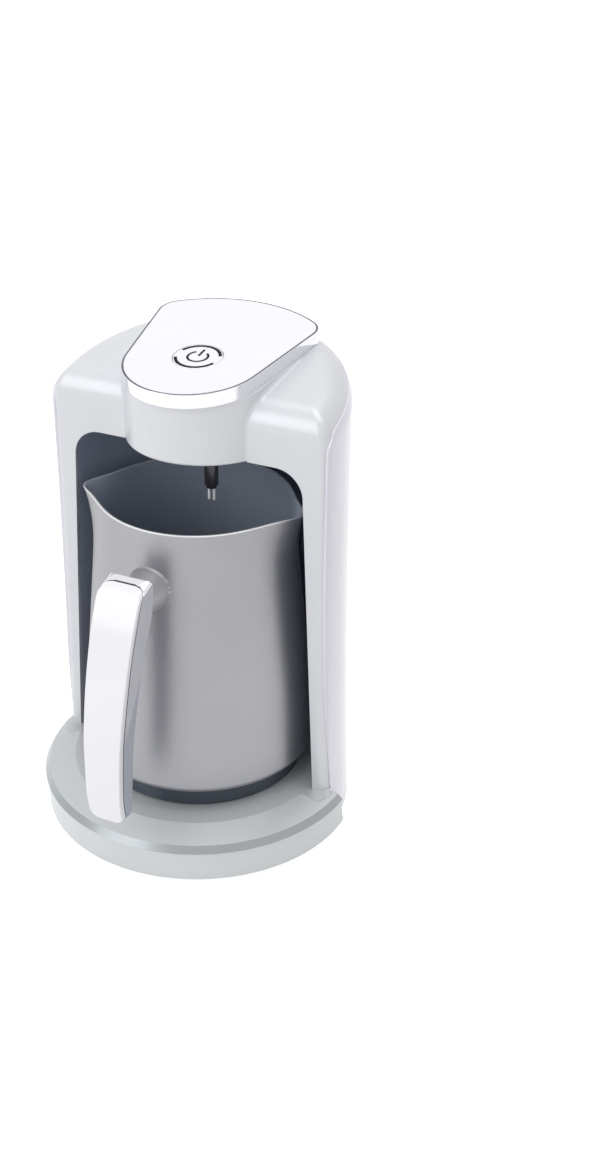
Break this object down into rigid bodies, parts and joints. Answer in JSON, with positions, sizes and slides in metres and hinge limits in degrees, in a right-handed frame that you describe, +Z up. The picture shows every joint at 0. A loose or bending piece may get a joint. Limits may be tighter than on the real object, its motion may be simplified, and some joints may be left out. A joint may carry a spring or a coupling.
{
  "type": "turkish coffee maker",
  "caption": "Electric Turkish coffee maker: round base with a heating plate, arched housing with a tilted top panel, and a steel pot with pouring spouts and a long handle.",
  "frame": {"origin": "centre of the round base, on the plane that the rubber feet rest on", "axes": "+Z up; the open front and the pot's handle face -Y; +X is on the right of someone who faces the front"},
  "size_m": [0.1422, 0.1538, 0.214],
  "materials": {
    "housing_silver": "satin silver lacquer on a moulded shell",
    "white_gloss": "glossy white",
    "dark_plastic": "fine matt, heat resistant",
    "rubber": "matt",
    "zinc_steel": "zinc plated, satin",
    "heater_black": "dark non-stick coating on cast aluminium",
    "gasket": "silicone, matt",
    "heater_tube": "heat-tinted steel sheath",
    "thermostat": "ceramic body",
    "wire_sleeve": "silicone sleeve",
    "chrome_trim": "bright plated",
    "icon_dark": "filled line, matt",
    "clear_guide": "clear light guide",
    "board_green": "solder mask",
    "board_parts": "moulded cases",
    "probe_sheath": "smooth dark insulating sheath",
    "probe_steel": "stainless",
    "pot_steel": "satin stainless",
    "pot_base": "dark coating",
    "pot_base_metal": "dark coated spreader disc",
    "grip_grey": "fine matt grey"
  },
  "bodies": {
    "housing": {"main_housing": "housing_silver", "rear_cover": "white_gloss", "niche_liner": "dark_plastic", "head_plate": "dark_plastic", "base_ring": "housing_silver", "bottom_plate": "dark_plastic", "rubber_feet": "rubber", "base_screws": "zinc_steel", "cover_screws": "zinc_steel", "heating_plate": "heater_black", "plate_gasket": "gasket", "plate_retainer": "zinc_steel", "retainer_screws": "zinc_steel", "heating_element": "heater_tube", "thermostat": "thermostat", "element_bracket": "zinc_steel", "bracket_screws": "zinc_steel", "supply_wires": "wire_sleeve", "cord_gland": "rubber", "panel_trim": "chrome_trim", "top_panel": "white_gloss", "light_guide": "clear_guide", "control_board": "board_green", "button_switch": "dark_plastic", "board_parts": "board_parts", "board_screws": "zinc_steel", "probe_sheath": "probe_sheath", "probe_pins": "probe_steel", "probe_nut": "zinc_steel"},
    "power_button": {"power_button": "white_gloss", "button_icon": "icon_dark"},
    "pot": {"pot_body": "pot_steel", "pot_foot": "pot_base", "pot_base_disc": "pot_base_metal", "handle_boss": "pot_steel", "handle_frame": "chrome_trim", "handle_grip": "grip_grey", "handle_cover": "white_gloss", "handle_screw": "zinc_steel"}
  },
  "joints": [
    {"name": "pot_take_out", "type": "slide", "parent": "housing", "child": "pot", "axis": [0, -1, 0], "range_m": [0, 0.13]},
    {"name": "button_press", "type": "slide", "parent": "housing", "child": "power_button", "axis": [0, 0.1392, -0.9903], "range_m": [0, 0.0012], "stiffness_N_per_m": 800}
  ]
}
